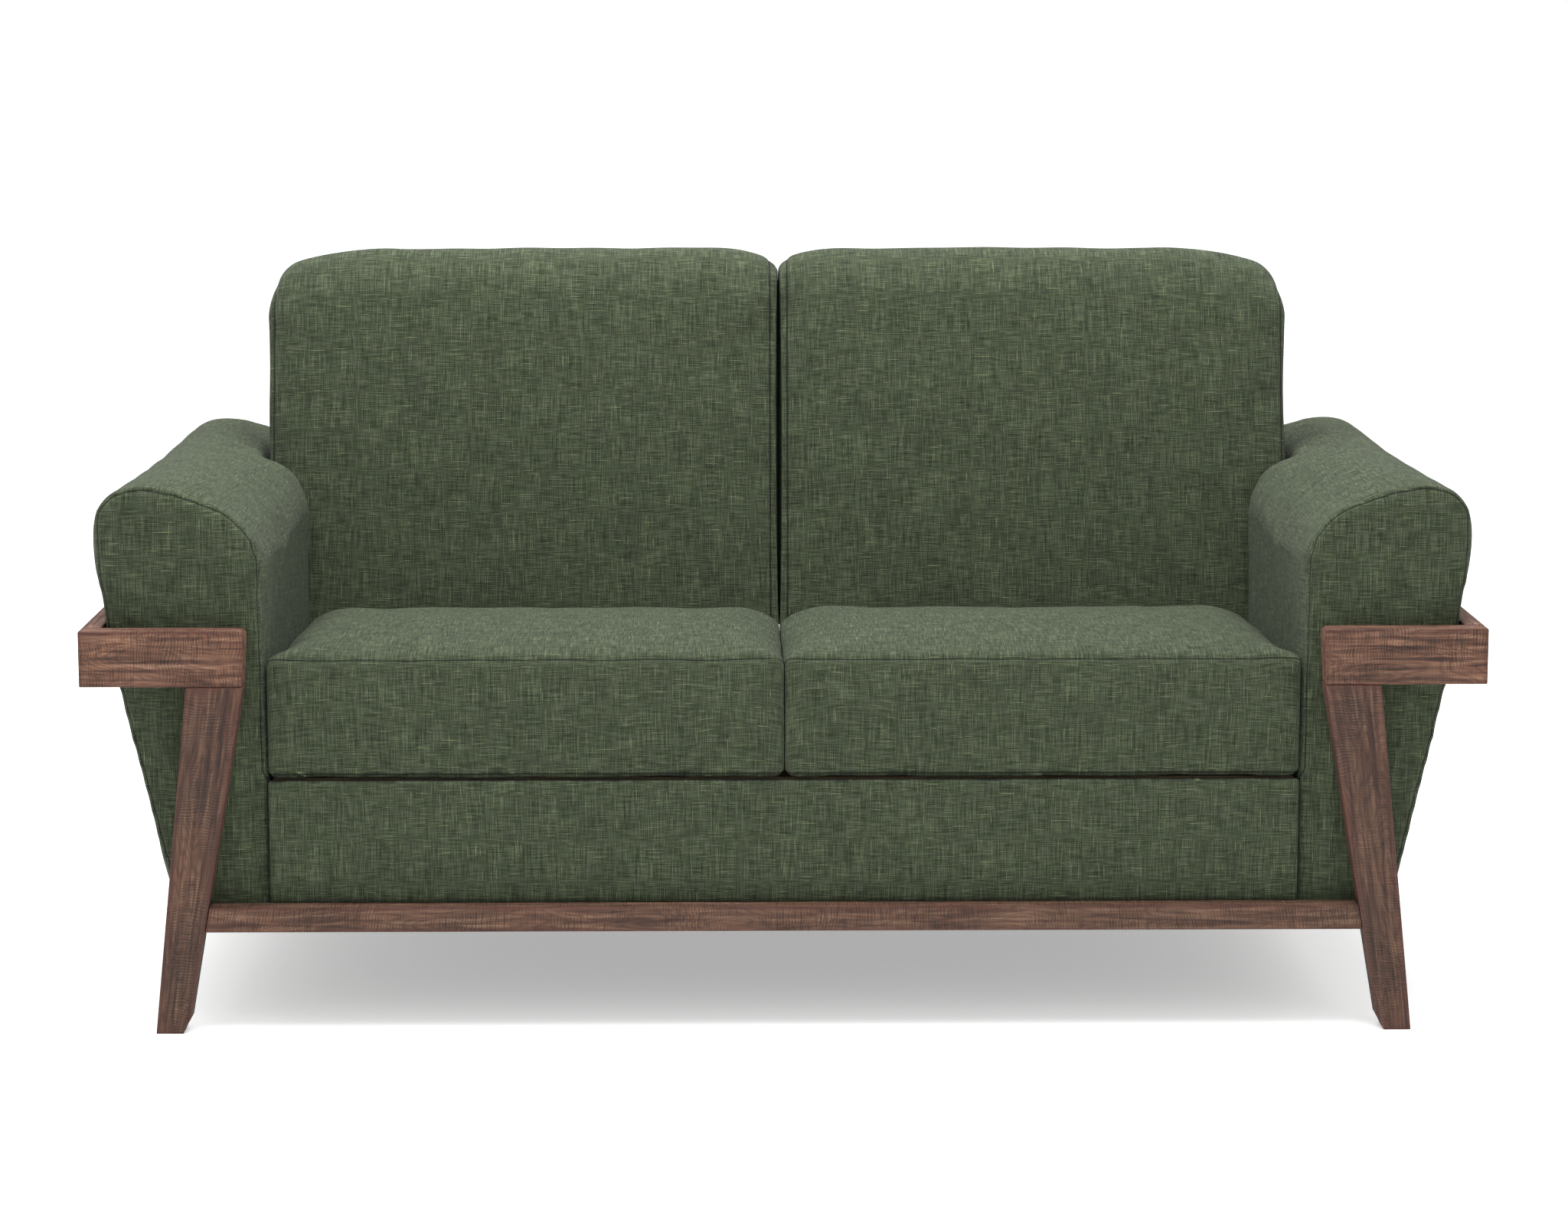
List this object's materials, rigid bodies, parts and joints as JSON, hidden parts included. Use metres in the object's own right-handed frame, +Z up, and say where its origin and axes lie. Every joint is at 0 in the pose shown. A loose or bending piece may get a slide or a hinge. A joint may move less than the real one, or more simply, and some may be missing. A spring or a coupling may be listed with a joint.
{
  "type": "futon sofa bed",
  "caption": "Upholstered futon sofa bed with a split reclining back, rounded arms, box seat cushions and splayed wooden legs under boards that wrap the arms.",
  "frame": {"origin": "on the floor under the middle of the sofa, at the middle of its width and depth", "axes": "+Z up, the front faces -Y, +X towards the viewer's right"},
  "size_m": [1.6, 0.86, 0.862],
  "materials": {
    "upholstery": "heathered dark sage green linen weave with pale slubs",
    "show_wood": "rough-sawn brown wood, matt",
    "frame_timber": "plain planed softwood",
    "backing_cloth": "thin black non-woven cloth",
    "hinge_steel": "satin black coated steel"
  },
  "bodies": {
    "base": {"front_leg_left": "show_wood", "rear_leg_left": "show_wood", "front_leg_right": "show_wood", "rear_leg_right": "show_wood", "front_arm_board_left": "show_wood", "rear_arm_board_left": "show_wood", "side_arm_rail_left": "show_wood", "front_arm_board_right": "show_wood", "rear_arm_board_right": "show_wood", "side_arm_rail_right": "show_wood", "front_sill": "show_wood", "rear_sill": "show_wood", "side_sill_left": "show_wood", "side_sill_right": "show_wood", "arm_pad_left": "upholstery", "arm_frame_left": "frame_timber", "arm_pad_right": "upholstery", "arm_frame_right": "frame_timber", "apron_pad": "upholstery", "apron_board": "frame_timber", "rear_apron_pad": "upholstery", "rear_apron_board": "frame_timber", "seat_side_rail_left": "frame_timber", "seat_side_rail_right": "frame_timber", "seat_rear_rail": "frame_timber", "seat_centre_joist": "frame_timber", "seat_slat_1": "frame_timber", "seat_slat_2": "frame_timber", "seat_slat_3": "frame_timber", "seat_slat_4": "frame_timber", "seat_slat_5": "frame_timber", "rear_deck": "frame_timber", "dust_cover": "backing_cloth", "seat_cushion_left": "upholstery", "seat_cushion_right": "upholstery", "hinge_bracket_inner_left": "hinge_steel", "hinge_pin_inner_left": "hinge_steel", "hinge_bracket_outer_left": "hinge_steel", "hinge_pin_outer_left": "hinge_steel", "hinge_bracket_inner_right": "hinge_steel", "hinge_pin_inner_right": "hinge_steel", "hinge_bracket_outer_right": "hinge_steel", "hinge_pin_outer_right": "hinge_steel"},
    "back_left": {"back_pad_left": "upholstery", "back_bottom_rail_left": "frame_timber", "back_top_rail_left": "frame_timber", "back_inner_stile_left": "frame_timber", "back_outer_stile_left": "frame_timber", "back_rear_panel_left": "upholstery", "hinge_arm_inner_left": "hinge_steel", "hinge_arm_outer_left": "hinge_steel"},
    "back_right": {"back_pad_right": "upholstery", "back_bottom_rail_right": "frame_timber", "back_top_rail_right": "frame_timber", "back_inner_stile_right": "frame_timber", "back_outer_stile_right": "frame_timber", "back_rear_panel_right": "upholstery", "hinge_arm_inner_right": "hinge_steel", "hinge_arm_outer_right": "hinge_steel"}
  },
  "joints": [
    {"name": "back_left_recline", "type": "hinge", "parent": "base", "child": "back_left", "pos_m": [-0.325, 0.11, 0.378], "axis": [-1, 0, 0], "range_deg": [0, 78]},
    {"name": "back_right_recline", "type": "hinge", "parent": "base", "child": "back_right", "pos_m": [0.325, 0.11, 0.378], "axis": [-1, 0, 0], "range_deg": [0, 78]}
  ]
}
